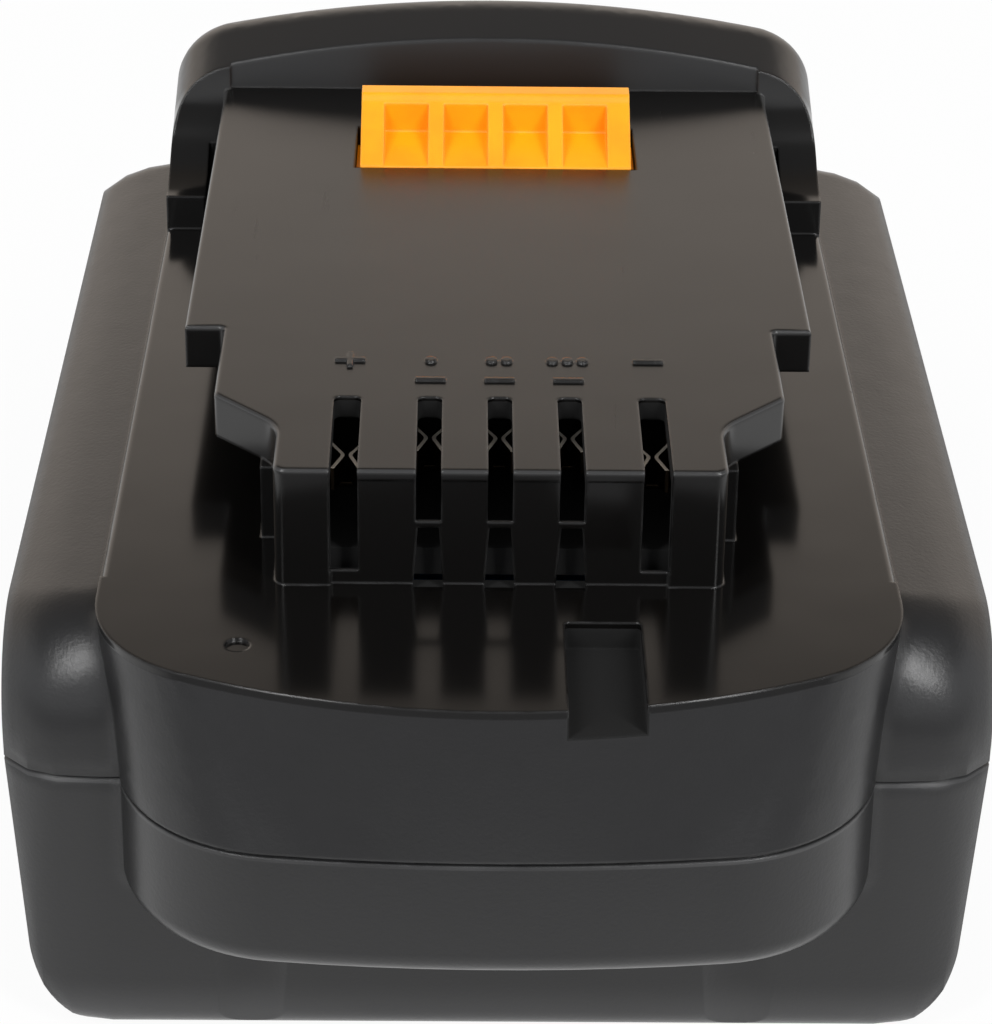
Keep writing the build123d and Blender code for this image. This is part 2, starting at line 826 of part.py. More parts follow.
def layer(z0, z1):
    return wide_box(side_half_width + overrun, nose_front_y - overrun, rear_y + overrun, z0, z1)


def upper_casing():
    outer = (casing_form(0) & layer(seam_height, deck_height)) + deck_block()
    outer += tower_block() + rail_plate() + hood_form(0) + wing_pair()
    shell = outer - (casing_form(wall) & layer(seam_height - overrun, deck_height - wall))
    shell -= cell_bay() + tower_hollow()
    shell -= hood_form(hood_wall)
    shell += screw_bosses(seam_height, deck_height - wall / 2) & casing_form(wall / 2)
    shell += key_notch_pocket()
    shell += latch_guides()
    shell += plate_marks()
    shell -= terminal_cuts()
    shell -= key_notch()
    shell -= latch_slot()
    shell -= pad_window()
    shell -= screw_holes()
    shell -= rod(gate_mark_x, nose_front_y + gate_mark_setback, deck_height - gate_mark_depth,
                 deck_height + overrun, gate_mark_radius)
    shell -= lip_band(lip_outer_inset - lip_clearance, wall + seam_groove, seam_height,
                      seam_height + lip_height + lip_clearance)
    return shell - seam_ring()


# The fine groove where the casing halves meet.
def seam_ring():
    return layer(seam_height - seam_gap / 2, seam_height + seam_gap / 2) - casing_form(seam_groove)


# Round recesses in the front wall that give a screwdriver room.
def scallops():
    y = shoulder_front_y + end_draft / 2 + scallop_depth - scallop_radius
    return both_sides(rod(front_screw_x, y, -overrun, nose_base_height, scallop_radius))


def lower_casing():
    below = layer(-overrun, seam_height)
    shell = (casing_form(0) & below) - casing_form(wall)
    shell += screw_bosses(0, seam_height) & casing_form(wall / 2) & below
    shell -= scallops()
    shell -= screw_holes()
    shell += lip_band(lip_outer_inset, wall, seam_height - lip_height, seam_height + lip_height)
    shell -= cell_bay() & below
    shell -= screw_bosses(seam_height, seam_height + 2 * lip_height)
    return shell - seam_ring()


def case_screws():
    screws = Part()
    for x, y in screw_places():
        head_base = screw_seat_height - screw_head_height
        screw = rod(x, y, head_base, screw_seat_height, screw_head_radius)
        screw += rod(x, y, screw_seat_height, screw_seat_height + screw_length, screw_radius)
        slot_half = screw_socket_width / 2
        socket = box(x - slot_half, x + slot_half, y - slot_half, y + slot_half, head_base - overrun,
                     head_base + screw_socket_depth)
        screws += screw - socket
    return screws


# cells and what holds and joins them

# A round cell across the pack, its cap to the right in odd columns and to the left in even ones.
def cell(column, z):
    end = cell_length / 2
    rim = end - cell_cap_height
    groove = rim - cell_groove_from_end
    points = [
        (-end, 0),
        (-end, cell_radius),
        (groove - cell_groove_depth, cell_radius),
        (groove, cell_radius - cell_groove_depth),
        (groove + cell_groove_depth, cell_radius),
        (rim, cell_radius),
        (rim, cell_cap_radius),
        (end, cell_cap_radius),
        (end, 0),
    ]
    radii = [0, cell_edge_round, 0, 0, 0, cell_edge_round, 0, 0, 0]
    body = revolve(rounded_outline(points, radii), axis=Axis.X)
    if column % 2 == 0:
        body = Rot(0, 0, 180) * body
    return Pos(0, column_y(column), z) * body


def link_footprint(first, last, margin):
    low = low_cell_z - link_reach - margin
    high = high_cell_z + link_reach + margin
    return column_y(first) - link_half_width - margin, column_y(last) + link_half_width + margin, low, high


# A nickel strip over the ends of the cells of one or two columns, with a weld slit at each cell.
def link(side, first, last):
    y0, y1, z0, z1 = link_footprint(first, last, 0)
    strip = box(cell_end_x, link_outer_x, y0, y1, z0, z1)
    for column in range(first, last + 1):
        for z in (low_cell_z, high_cell_z):
            y = column_y(column)
            strip -= box(0, holder_outer_x, y - weld_slit_width / 2, y + weld_slit_width / 2,
                         z - weld_slit_length / 2, z + weld_slit_length / 2)
    return strip if side > 0 else mirror(strip, about=Plane.YZ)


# The frame that holds the cell ends, with windows for the links and notches for the leads.
def cell_holder(side):
    points, radii = holder_outline(0)
    frame = side_prism(points, radii, holder_inner_x, holder_outer_x)
    for column in range(cell_columns):
        for z in (low_cell_z, high_cell_z):
            bore = Cylinder(cell_radius + holder_bore_clearance, 2 * cell_end_x)
            frame -= Pos(0, column_y(column), z) * (Rot(0, 90, 0) * bore)
    for first, last in (right_link_columns if side > 0 else left_link_columns).values():
        y0, y1, z0, z1 = link_footprint(first, last, link_window_margin)
        frame -= box(0, holder_outer_x + overrun, y0, y1, z0, z1)
    for column in range(cell_columns - 1):
        y = valley_y(column)
        frame -= box(0, holder_outer_x + overrun, y - lead_notch_half_width, y + lead_notch_half_width,
                     lead_run_height - power_lead_radius - lead_notch_gap, deck_height)
    return frame if side > 0 else mirror(frame, about=Plane.YZ)


# The height at which the leads leave the links.
def lead_start_z():
    return (low_cell_z + high_cell_z) / 2


# A thin sheet over the links, with a hole for each lead that starts under it.
def insulating_sheet(side):
    y0 = stack_front_y + sheet_margin
    y1 = stack_rear_y - sheet_margin
    z0 = low_cell_z - sheet_low_reach
    z1 = high_cell_z + sheet_high_reach
    sheet = box(holder_outer_x, sheet_outer_x, y0, y1, z0, z1)
    for start, valley in (right_lead_columns if side > 0 else left_lead_columns).values():
        hole = Rot(0, 90, 0) * Cylinder(sheet_hole_radius, 2 * side_half_width)
        sheet -= Pos(0, column_y(start), lead_start_z()) * hole
    return sheet if side > 0 else mirror(sheet, about=Plane.YZ)


# A wire from a link, up the side of the stack, over the holder and up to the board.
def lead(side, start, valley, radius):
    y = column_y(start)
    end_y = valley_y(valley)
    points = [
        (side * link_outer_x, y, lead_start_z()),
        (side * lead_side_x, y, lead_start_z()),
        (side * lead_side_x, y, lead_run_height),
    ]
    if abs(end_y - y) > lead_bend:
        points.append((side * lead_side_x, end_y, lead_run_height))
    points.append((side * lead_rise_x, end_y, lead_run_height))
    points.append((side * lead_rise_x, end_y, board_base))
    path = FilletPolyline(*points, radius=lead_bend)
    section = Plane(origin=points[0], z_dir=(side, 0, 0)) * Circle(radius)
    return sweep(section, path=path)


# board and terminals

# The tray on the cells that carries the board and seats the latch springs.
def board_tray():
    front = block_front_y + tray_front_overlap
    tray = wide_box(tray_half_width, front, spring_y + tray_rear_reach, tray_base, spring_base)
    for x, y in tray_pegs():
        tray += rod(x, y, tray_base, board_base, tray_peg_radius + peg_clearance + board_lift)
        tray += rod(x, y, tray_base, board_top, tray_peg_radius)
    for x in (-spring_x, spring_x):
        tray += rod(x, spring_y, tray_base, spring_base + spring_post_height, spring_post_radius)
    leg = thermistor_leg_gap / 2 + thermistor_radius + board_lift
    tray -= box(-leg, leg, thermistor_y() - leg, thermistor_y() + leg, tray_base - overrun, deck_height)
    return tray


def tray_pegs():
    front = block_rear_y + tray_peg_front_gap
    rear = board_rear_y - tray_peg_rear_gap
    return [(tray_peg_x, front), (-tray_peg_x, front), (tray_peg_x, rear), (-tray_peg_x, rear)]


def circuit_board():
    step_y = board_front_y + board_neck_length
    right = [
        (board_half_width, board_rear_y),
        (board_half_width, step_y),
        (block_half_width, step_y),
        (block_half_width, board_front_y),
    ]
    board = plan_prism(mirrored_points(right), [0] * (2 * len(right)), board_base, board_top)
    for x, y in tray_pegs():
        board -= rod(x, y, board_base - overrun, board_top + overrun, tray_peg_radius + peg_clearance)
    return board


# Two flat transistors, each with its metal tab at the front.
def power_transistors():
    half = transistor_size / 2
    y = block_rear_y + transistor_gap
    tab_half = half - transistor_tab / 2
    group = Part()
    for x in (-transistor_x, transistor_x):
        group += box(x - half, x + half, y - half, y + half, board_top, board_top + transistor_height)
        group += box(x - tab_half, x + tab_half, y - half - transistor_tab, y - half, board_top,
                     board_top + clip_base_thickness)
    return group


def controller_chip():
    half = chip_size / 2
    y = board_rear_y - chip_setback
    chip = box(-half, half, y - half, y + half, board_top, board_top + chip_height)
    return chamfer(chip.edges().group_by(Axis.Z)[-1], link_thickness)


def shunt_resistor():
    y = board_rear_y - shunt_setback
    half = shunt_length / 2
    side = shunt_width / 2
    return box(shunt_x - half, shunt_x + half, y - side, y + side, board_top, board_top + shunt_height)


def board_capacitors():
    group = Part()
    for i in range(capacitor_count):
        y = board_rear_y - capacitor_setback + i * capacitor_pitch
        group += rod(capacitor_x, y, board_top, board_top + capacitor_height, capacitor_radius)
    return group


def thermistor_y():
    return column_y(cell_columns // 2) + thermistor_offset


# A bead between two cells, on two legs from the board.
def thermistor():
    half_gap = thermistor_leg_gap / 2
    reach = sqrt((cell_radius + thermistor_radius + tray_lift) ** 2 - thermistor_offset ** 2)
    bead_z = high_cell_z + reach
    bead = Pos(0, thermistor_y(), bead_z) * Sphere(thermistor_radius)
    for x in (-half_gap, half_gap):
        bead += rod(x, thermistor_y(), bead_z, board_base, thermistor_leg_radius)
    return bead


def slot_places():
    return (-power_slot_x, -signal_slot_x, 0, signal_slot_x, power_slot_x)


# The block on the board's front that carries the clips, with a skirt ahead of the board.
def terminal_block():
    block = wide_box(block_half_width, block_front_y, block_rear_y, board_top, board_top + block_height)
    block += wide_box(block_half_width, block_front_y, block_front_y + block_skirt, board_base, board_top)
    half = block_slot_width / 2
    for x in slot_places():
        block -= box(x - half, x + half, block_front_y - overrun, block_rear_y - block_back_wall,
                     clip_base_z, plate_height)
    return block


# Two spring leaves that pinch the tool's blade and flare to both sides, on a stem and a base.
def contact_clip(x, front_y):
    rear = front_y + clip_length
    pinch_y = front_y + clip_flare_length
    shoulder_y = pinch_y + clip_flare_length
    inner = [
        (clip_front_gap, front_y),
        (clip_pinch_gap, pinch_y),
        (clip_rear_gap, shoulder_y),
        (clip_rear_gap, rear),
    ]
    outer = [(leaf_x + clip_leaf_thickness, y) for leaf_x, y in reversed(inner)]
    radii = [0, clip_bend_round, clip_bend_round, 0, 0, clip_bend_round, clip_bend_round, 0]
    top = clip_base_z + clip_leaf_top
    leaf = plan_prism(inner + outer, radii, top - clip_leaf_height, top)
    outer_x = clip_rear_gap + clip_leaf_thickness
    stem = box(clip_rear_gap, outer_x, shoulder_y + clip_flare_length / 2, rear, clip_base_z, top)
    base = wide_box(outer_x, shoulder_y + clip_flare_length / 2, rear, clip_base_z,
                    clip_base_z + clip_base_thickness)
    return Pos(x, 0, 0) * (both_sides(leaf + stem) + base)


# release latch

# The catch that stands out of the plate: a ramp to the front, a steep back, four pockets.
def catch_block():
    root = tower_roof - latch_stop_gap - latch_plate_thickness
    ramp_y = latch_front_y + latch_ramp_length
    top = plate_height + latch_rise
    points = [
        (latch_front_y, root),
        (latch_front_y, plate_height),
        (ramp_y, plate_height + latch_ramp_rise),
        (ramp_y + latch_top_round, top),
        (latch_rear_y, top),
        (latch_rear_y, root),
    ]
    radii = [0, 0, latch_top_round, latch_top_round, latch_top_round, 0]
    block = side_prism(points, radii, -latch_half_width, latch_half_width)
    ribs = 2 * latch_end_rib + (latch_pocket_count - 1) * latch_inner_rib
    pocket_width = (2 * latch_half_width - ribs) / latch_pocket_count
    pocket_rear = latch_front_y + latch_pocket_length
    pocket_points = [
        (latch_front_y - overrun, plate_height),
        (latch_front_y, plate_height),
        (pocket_rear, plate_height + latch_pocket_floor_rise),
        (pocket_rear, top + overrun),
        (latch_front_y - overrun, top + overrun),
    ]
    for i in range(latch_pocket_count):
        x0 = -latch_half_width + latch_end_rib + i * (pocket_width + latch_inner_rib)
        block -= side_prism(pocket_points, [0, 0, 0, 0, 0], x0, x0 + pocket_width)
    return block


# The rear face of the latch's apron, just inside the rear wall.
def apron_rear_y():
    return rear_y - hood_wall - latch_stop_gap


# The pad in the rear window, with grip ribs, on an apron that closes the window.
def thumb_pad():
    apron_rear = apron_rear_y()
    top = tower_roof - latch_stop_gap
    apron = wide_box(latch_plate_half_width, apron_rear - latch_apron_thickness, apron_rear,
                     deck_height - latch_apron_drop, top)
    pad_top = top - latch_pad_gap
    pad = wide_box(latch_pad_half_width, apron_rear, rear_y - latch_pad_rib_depth, latch_pad_low_z, pad_top)
    rib_pitch = (pad_top - latch_pad_low_z) / latch_pad_rib_count
    rib_half_width = latch_pad_half_width - latch_inner_rib
    for i in range(latch_pad_rib_count):
        rib_z = latch_pad_low_z + i * rib_pitch + rib_pitch / 4
        pad += wide_box(rib_half_width, apron_rear, rear_y, rib_z, rib_z + rib_pitch / 2)
    return apron + pad


def release_latch():
    top = tower_roof - latch_stop_gap
    low = top - latch_plate_thickness
    plate = wide_box(latch_plate_half_width, latch_plate_front_y, apron_rear_y(), low, top)
    latch = plate + catch_block() + thumb_pad()
    for x in (-spring_x, spring_x):
        latch -= rod(x, spring_y, spring_base, spring_pocket_top, spring_pocket_radius)
    return latch


# Two arcs that leave the start and reach the end along the given directions.
def biarc(start, start_direction, end, end_direction):
    chord = end - start
    along = chord.dot(start_direction + end_direction)
    spread = 2 * (1 - start_direction.dot(end_direction))
    reach = (sqrt(along ** 2 + 2 * spread * chord.dot(chord)) - along) / (2 * spread)
    leaving = start + start_direction * reach
    arriving = end - end_direction * reach
    joint = (leaving + arriving) / 2
    first = TangentArc(start, joint, tangent=start_direction)
    return first, TangentArc(joint, end, tangent=(arriving - leaving).normalized())


# A compression spring between its seat on the tray and the roof of its pocket in the latch.
def latch_spring(x):
    low = spring_base + spring_wire_radius
    high = spring_pocket_top - spring_wire_radius
    quarters = 4 * spring_turns
    rise = (high - low) / quarters
    climb = rise / (pi / 2)

    def point(i):
        angle = i * pi / 2
        return Vector(x + spring_radius * cos(angle), spring_y + spring_radius * sin(angle), low + i * rise)

    def direction(i):
        angle = i * pi / 2
        return Vector(-spring_radius * sin(angle), spring_radius * cos(angle), climb).normalized()

    arcs = []
    for i in range(quarters):
        arcs.extend(biarc(point(i), direction(i), point(i + 1), direction(i + 1)))
    path = Wire(arcs)
    section = Plane(origin=point(0), z_dir=direction(0)) * Circle(spring_wire_radius)
    coil_gap = (high - low) / spring_turns - 2 * spring_wire_radius
    print(f"latch spring: {spring_turns} turns, gap between turns {coil_gap:.2f} mm")
    return sweep(section, path=path)


def foam_pad():
    y0 = stack_rear_y + holder_end_margin + foam_gap
    y1 = rear_y - wall - end_draft - foam_gap
    return wide_box(foam_half_width, y0, y1, wall + foam_floor_gap, seam_height - foam_seam_gap)


def lead_radius(name):
    return sense_lead_radius if name.startswith("sense") else power_lead_radius


def all_nodes():
    nodes = {
        "upper_casing": upper_casing(),
        "lower_casing": lower_casing(),
        "case_screws": case_screws(),
        "release_latch": release_latch(),
        "latch_spring_left": latch_spring(-spring_x),
        "latch_spring_right": latch_spring(spring_x),
        "cell_holder_left": cell_holder(-1),
        "cell_holder_right": cell_holder(1),
        "insulating_sheet_left": insulating_sheet(-1),
        "insulating_sheet_right": insulating_sheet(1),
        "board_tray": board_tray(),
        "circuit_board": circuit_board(),
        "power_transistors": power_transistors(),
        "controller_chip": controller_chip(),
        "shunt_resistor": shunt_resistor(),
        "board_capacitors": board_capacitors(),
        "thermistor": thermistor(),
        "terminal_block": terminal_block(),
        "foam_pad": foam_pad(),
    }
    for column in range(cell_columns):
        nodes[f"cell_low_{column + 1}"] = cell(column, low_cell_z)
        nodes[f"cell_high_{column + 1}"] = cell(column, high_cell_z)
    for side, links, leads in (
        (-1, left_link_columns, left_lead_columns),
        (1, right_link_columns, right_lead_columns),
    ):
        for name, (first, last) in links.items():
            nodes[name] = link(side, first, last)
        for name, (start, valley) in leads.items():
            nodes[name] = lead(side, start, valley, lead_radius(name))
    power_clip_y = tower_front_y + power_clip_setback
    signal_clip_y = tower_front_y + signal_clip_setback
    nodes["contact_positive"] = contact_clip(-power_slot_x, power_clip_y)
    nodes["contact_negative"] = contact_clip(power_slot_x, power_clip_y)
    for number, x in enumerate((-signal_slot_x, 0, signal_slot_x), start=1):
        nodes[f"contact_signal_{number}"] = contact_clip(x, signal_clip_y)
    return nodes


os.makedirs("parts", exist_ok=True)
for node_name, shape in all_nodes().items():
    export_step(shape, f"parts/{node_name}.step")
    print(node_name, len(shape.solids()))
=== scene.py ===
import json
from math import cos, radians, sin

import bpy
from mathutils import Matrix, Vector


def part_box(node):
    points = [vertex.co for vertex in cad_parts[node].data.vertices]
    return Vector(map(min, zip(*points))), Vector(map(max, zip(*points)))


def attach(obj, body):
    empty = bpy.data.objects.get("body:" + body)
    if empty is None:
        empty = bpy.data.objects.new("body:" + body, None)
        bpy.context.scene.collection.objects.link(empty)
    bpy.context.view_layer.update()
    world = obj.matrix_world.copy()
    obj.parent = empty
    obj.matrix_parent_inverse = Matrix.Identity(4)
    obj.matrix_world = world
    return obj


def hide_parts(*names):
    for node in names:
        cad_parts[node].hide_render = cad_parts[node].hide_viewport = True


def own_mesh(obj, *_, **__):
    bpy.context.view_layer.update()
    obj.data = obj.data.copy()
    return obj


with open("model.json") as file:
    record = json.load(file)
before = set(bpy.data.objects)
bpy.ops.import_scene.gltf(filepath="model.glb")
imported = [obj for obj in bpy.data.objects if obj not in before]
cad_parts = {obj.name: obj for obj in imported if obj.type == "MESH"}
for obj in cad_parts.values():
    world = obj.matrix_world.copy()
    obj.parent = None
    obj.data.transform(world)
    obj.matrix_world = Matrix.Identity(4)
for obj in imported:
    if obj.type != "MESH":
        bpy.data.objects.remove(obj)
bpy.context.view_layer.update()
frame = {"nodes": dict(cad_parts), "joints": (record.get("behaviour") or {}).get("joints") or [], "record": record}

# Battery pack of a cordless tool. Metres, +Z up, terminals towards -Y.


def say(words):
    print("battery pack:", words)


# shader sums

class Reading:
    # one value of a shader, which can stand in a sum
    def __init__(self, graph, socket):
        self.graph = graph
        self.socket = socket

    def sum(self, operation, first, second=0.0):
        return self.graph.node("ShaderNodeMath", {"operation": operation}, {0: first, 1: second})

    def __add__(self, other):
        return self.sum("ADD", self, other)

    def __radd__(self, other):
        return self.sum("ADD", other, self)

    def __sub__(self, other):
        return self.sum("SUBTRACT", self, other)

    def __rsub__(self, other):
        return self.sum("SUBTRACT", other, self)

    def __mul__(self, other):
        return self.sum("MULTIPLY", self, other)

    def __rmul__(self, other):
        return self.sum("MULTIPLY", other, self)

    def __abs__(self):
        return self.sum("ABSOLUTE", self)


class Graph:
    # the nodes of one material or of the sky
    def __init__(self, tree, coordinates):
        self.tree = tree
        self.tree.nodes.clear()
        self.place = self.node("ShaderNodeTexCoord", {}, {}, coordinates)

    def node(self, kind, settings, inputs, output=0):
        made = self.tree.nodes.new(kind)
        for name, value in settings.items():
            setattr(made, name, value)
        for name, value in inputs.items():
            if isinstance(value, Reading):
                self.tree.links.new(value.socket, made.inputs[name])
            else:
                made.inputs[name].default_value = value
        if isinstance(output, tuple):
            return [Reading(self, made.outputs[name]) for name in output]
        return Reading(self, made.outputs[output])

    def axes(self):
        return self.node("ShaderNodeSeparateXYZ", {}, {"Vector": self.place}, ("X", "Y", "Z"))

    def fade(self, value, low, high):
        # 0 below low, 1 above high, and smooth between them
        return self.node("ShaderNodeMapRange", {"interpolation_type": "SMOOTHSTEP"}, {
            "Value": value, "From Min": low, "From Max": high})

    def between(self, value, low, high, hair):
        # 1 from low to high, with borders one hair wide outside them
        return self.fade(value, low - hair, low) * self.below(value, high, hair)

    def below(self, value, high, hair):
        return 1 - self.fade(value, high, high + hair)

    def lightRays(self):
        return self.node("ShaderNodeLightPath", {}, {},
                         ("Is Camera Ray", "Is Glossy Ray", "Is Transmission Ray"))

    def noise(self, scale, detail=2.0, roughness=0.5, place=None):
        return self.node("ShaderNodeTexNoise", {}, {
            "Vector": place or self.place, "Scale": scale, "Detail": detail,
            "Roughness": roughness}, "Fac")

    def mixColours(self, factor, first, second):
        return self.node("ShaderNodeMix", {"data_type": "RGBA"}, {0: factor, 6: first, 7: second}, 2)

    def close(self, surface, kind):
        end = self.tree.nodes.new(kind)
        self.tree.links.new(surface.socket, end.inputs["Surface"])


finishLook = {
    "bevelSamples": 6,
    "edgeFrom": 0.02,  # how far a rounded normal leaves the flat one where an edge starts
    "edgeTo": 0.25,
}


class Finish(Graph):
    # one material
    def __init__(self, name):
        self.material = bpy.data.materials.new(name)
        self.material.use_nodes = True
        super().__init__(self.material.node_tree, "Object")

    def stretched(self, x, y, z):
        # the place with each axis scaled, so that a pattern runs along one of them
        return self.node("ShaderNodeMapping", {}, {"Vector": self.place, "Scale": (x, y, z)})

    def flatNormal(self):
        return self.node("ShaderNodeNewGeometry", {}, {}, "Normal")

    def facing(self):
        return self.node("ShaderNodeSeparateXYZ", {}, {"Vector": self.flatNormal()}, ("X", "Y", "Z"))

    def mixNormals(self, factor, first, second):
        return self.node("ShaderNodeMix", {"data_type": "VECTOR"}, {0: factor, 4: first, 5: second}, 1)

    def roundedNormal(self, radius):
        return self.node("ShaderNodeBevel", {"samples": finishLook["bevelSamples"]}, {"Radius": radius})

    def edges(self, radius):
        # 1 along the edges
        match = self.node("ShaderNodeVectorMath", {"operation": "DOT_PRODUCT"},
                          {0: self.roundedNormal(radius), 1: self.flatNormal()}, "Value")
        return self.fade(1 - match, finishLook["edgeFrom"], finishLook["edgeTo"])

    def bump(self, height, strength, distance, normal=None):
        inputs = {"Height": height, "Strength": strength, "Distance": distance}
        if normal:
            inputs["Normal"] = normal
        return self.node("ShaderNodeBump", {}, inputs)

    def skin(self, inputs):
        self.close(self.node("ShaderNodeBsdfPrincipled", {}, inputs), "ShaderNodeOutputMaterial")
        return self.material


# casing

casingLook = {
    "polished": (0.0029, 0.0026, 0.0024, 1.0),
    "textured": (0.0105, 0.0105, 0.0111, 1.0),
    "hood": (0.0115, 0.0115, 0.0120, 1.0),
    # painted shade: the inside of the terminal tower and of the key notch is darker
    "inner": (0.0012, 0.0012, 0.0012, 1.0),
    # the lighter colour of worn edges and of painted highlights
    "worn": (0.050, 0.050, 0.051, 1.0),
    "scuffed": (0.065, 0.065, 0.066, 1.0),  # painted light: lighter towards the bottom edge, as if lit by the floor, in patches
    "scuffedTo": 0.0060,
    "scuffedLeast": 0.6,
    "scuffedCloud": 0.8,
    "polishedFrom": 0.0403,  # the deck and what stands on it is polished
    "polishedBorder": 0.0001,
    "polishedRoughness": 0.12,
    "plateFrom": 0.0514,  # the plate's top is a little duller
    "plateRoughness": 0.22,
    "hoodFrom": 0.0452,  # the hood, towards the rear, is duller still
    "hoodBorder": 0.0004,
    "hoodRoughness": 0.30,
    "texturedRoughness": 0.27,
    "innerRoughness": 0.9,  # the mould leaves the inner walls dull
    "innerBorder": 0.0002,
    "towerInside": (0.0160, -0.0369, 0.0440, 0.0515),  # half width, front, rear, top
    "notchInside": (0.0052, 0.0115, -0.0430, 0.0384, 0.0405),  # low x, high x, rear, floor, top
    "cloudScale": 35,
    "cloudRoughness": 0.05,
    "fineCloudScale": 420,
    "fineCloudRoughness": 0.08,
    "edgeWear": 0.5,
    "edgeWornFrom": 0.35,  # of the fine clouds
    "edgeWornTo": 0.7,
    "seamRim": (0.02655, 0.02684),  # painted highlight: a bright line below the seam, where the groove's lower edge catches light
    "seamFade": (0.0001, 0.00003),
    "seamWear": 0.7,
    "seamWornFrom": 0.3,  # of the clouds
    "seamWornTo": 0.6,
    "roundFrom": (0.25, 0.50),  # how far a round edge faces up where its light line starts
    "roundTo": (0.88, 0.97),
    "roundRear": (0.030, 0.033),  # the hood and its wings have none
    "roundWear": 0.55,
    "scratchScale": 900,
    "scratchStretch": (1.0, 0.05, 1.0),
    "scratchFrom": 0.62,
    "scratchTo": 0.8,
    "scratchRoughness": 0.06,
    "grainScale": 2600,  # the mould's fine texture, per metre
    "grainHeight": 0.00004,
    "grainStrength": 0.5,
    "sinkScale": 90,  # slow waves that a moulded wall always has
    "sinkHeight": 0.00012,
    "sinkStrength": 0.25,
    "edgeRadius": 0.00035,
    "blendRadius": 0.0022,  # on the shoulders and beside the nose
    "blendFrom": (0.0300, 0.0315),
    "shoulderFrom": (0.0350, 0.0360),
    "deckEdge": (0.0013, 0.0001),  # this far below the polish, the deck's own edge stays sharp
    "ior": 1.5,
}


def shadedInsideWalls(finish, look, x, y, z):
    # 1 inside the terminal tower and inside the key notch, where the casing gets painted shade and a dull finish
    hair = look["innerBorder"]
    half, front, rear, top = look["towerInside"]
    tower = finish.between(y, front, rear, hair) * finish.below(abs(x), half, hair)
    tower = tower * finish.below(z, top - hair, hair)
    low, high, rear, floor, top = look["notchInside"]
    notch = finish.between(x, low, high, hair) * finish.below(y, rear, hair)
    notch = notch * finish.fade(z, floor - hair, floor) * finish.below(z, top - hair, hair)
    return tower + notch


def litRoundEdges(finish, look, y, polish):
    # painted highlight: 1 along the round edges of the deck, the plate and the tower, where they face partly up
    up = finish.facing()[2]
    rounded = finish.fade(up, *look["roundFrom"]) * (1 - finish.fade(up, *look["roundTo"]))
    return rounded * polish * (1 - finish.fade(y, *look["roundRear"])) * look["roundWear"]


def wornAndLitPlaces(finish, look, y, z, polish, cloud, fineCloud):
    # edges and the seam: worn edges, where handling leaves the plastic lighter, together with painted highlights
    # along the edges, the round edges and below the seam
    patches = finish.fade(fineCloud, look["edgeWornFrom"], look["edgeWornTo"])
    # painted highlight and wear along the sharp edges, in patches
    sharp = finish.edges(look["edgeRadius"]) * patches * look["edgeWear"]
    litAndWornEdges = finish.node("ShaderNodeMath", {"operation": "MAXIMUM"},
                       {0: sharp, 1: litRoundEdges(finish, look, y, polish)})
    low, high = look["seamRim"]
    fadeIn, fadeOut = look["seamFade"]
    # painted highlight below the seam, in patches along the clouds
    rim = finish.fade(z, low - fadeIn, low) * finish.below(z, high, fadeOut)
    return litAndWornEdges + rim * finish.fade(cloud, look["seamWornFrom"], look["seamWornTo"]) * look["seamWear"]


def casingNormal(finish, look, x, z, polish):
    aside = abs(x)
    blended = finish.fade(aside, *look["blendFrom"])
    low, high = look["deckEdge"]
    deckEdge = finish.fade(z, look["polishedFrom"] - low, look["polishedFrom"] - high)
    blended = blended * (1 - deckEdge * (1 - finish.fade(aside, *look["shoulderFrom"])))
    normal = finish.mixNormals(blended, finish.roundedNormal(look["edgeRadius"]),
                               finish.roundedNormal(look["blendRadius"]))
    sink = finish.noise(look["sinkScale"], 1.0)
    normal = finish.bump(sink, look["sinkStrength"], look["sinkHeight"], normal)
    grain = finish.noise(look["grainScale"], 3.0, 0.6)
    return finish.bump(grain * (1 - polish), look["grainStrength"], look["grainHeight"], normal)


def casingFinish(name, look):
    finish = Finish(name)
    x, y, z = finish.axes()
    border = look["polishedBorder"]
    polish = finish.fade(z, look["polishedFrom"] - border, look["polishedFrom"] + border)
    plate = finish.fade(z, look["plateFrom"] - border, look["plateFrom"])
    border = look["hoodBorder"]
    hood = finish.fade(y, look["hoodFrom"] - border, look["hoodFrom"] + border)
    cloud = finish.noise(look["cloudScale"], 3.0)
    fineCloud = finish.noise(look["fineCloudScale"])
    inner = shadedInsideWalls(finish, look, x, y, z)

    # painted light from the floor, fading out upwards from the bottom edge
    scuffed = 1 - finish.fade(z, 0.0, look["scuffedTo"])
    scuffed = scuffed * (look["scuffedLeast"] + cloud * look["scuffedCloud"])
    textured = finish.mixColours(scuffed, look["textured"], look["scuffed"])
    colour = finish.mixColours(hood, look["polished"], look["hood"])
    colour = finish.mixColours(polish, textured, colour)
    # worn edges plus painted highlights on the edges and below the seam
    worn = wornAndLitPlaces(finish, look, y, z, polish, cloud, fineCloud)
    colour = finish.mixColours(worn, colour, look["worn"])
    # painted shade inside the tower and the notch
    colour = finish.mixColours(inner, colour, look["inner"])

    smooth = look["polishedRoughness"] + plate * (look["plateRoughness"] - look["polishedRoughness"])
    smooth = smooth + hood * (look["hoodRoughness"] - smooth)
    scratches = finish.noise(look["scratchScale"], 4.0, 0.7, finish.stretched(*look["scratchStretch"]))
    scratches = finish.fade(scratches, look["scratchFrom"], look["scratchTo"])
    smooth = smooth + scratches * look["scratchRoughness"] + cloud * look["cloudRoughness"]
    rough = look["texturedRoughness"] + fineCloud * look["fineCloudRoughness"]
    roughness = polish * smooth + (1 - polish) * rough
    roughness = roughness + inner * (look["innerRoughness"] - roughness)
    return finish.skin({"Base Color": colour, "Roughness": roughness, "IOR": look["ior"],
                        "Normal": casingNormal(finish, look, x, z, polish)})


# release latch

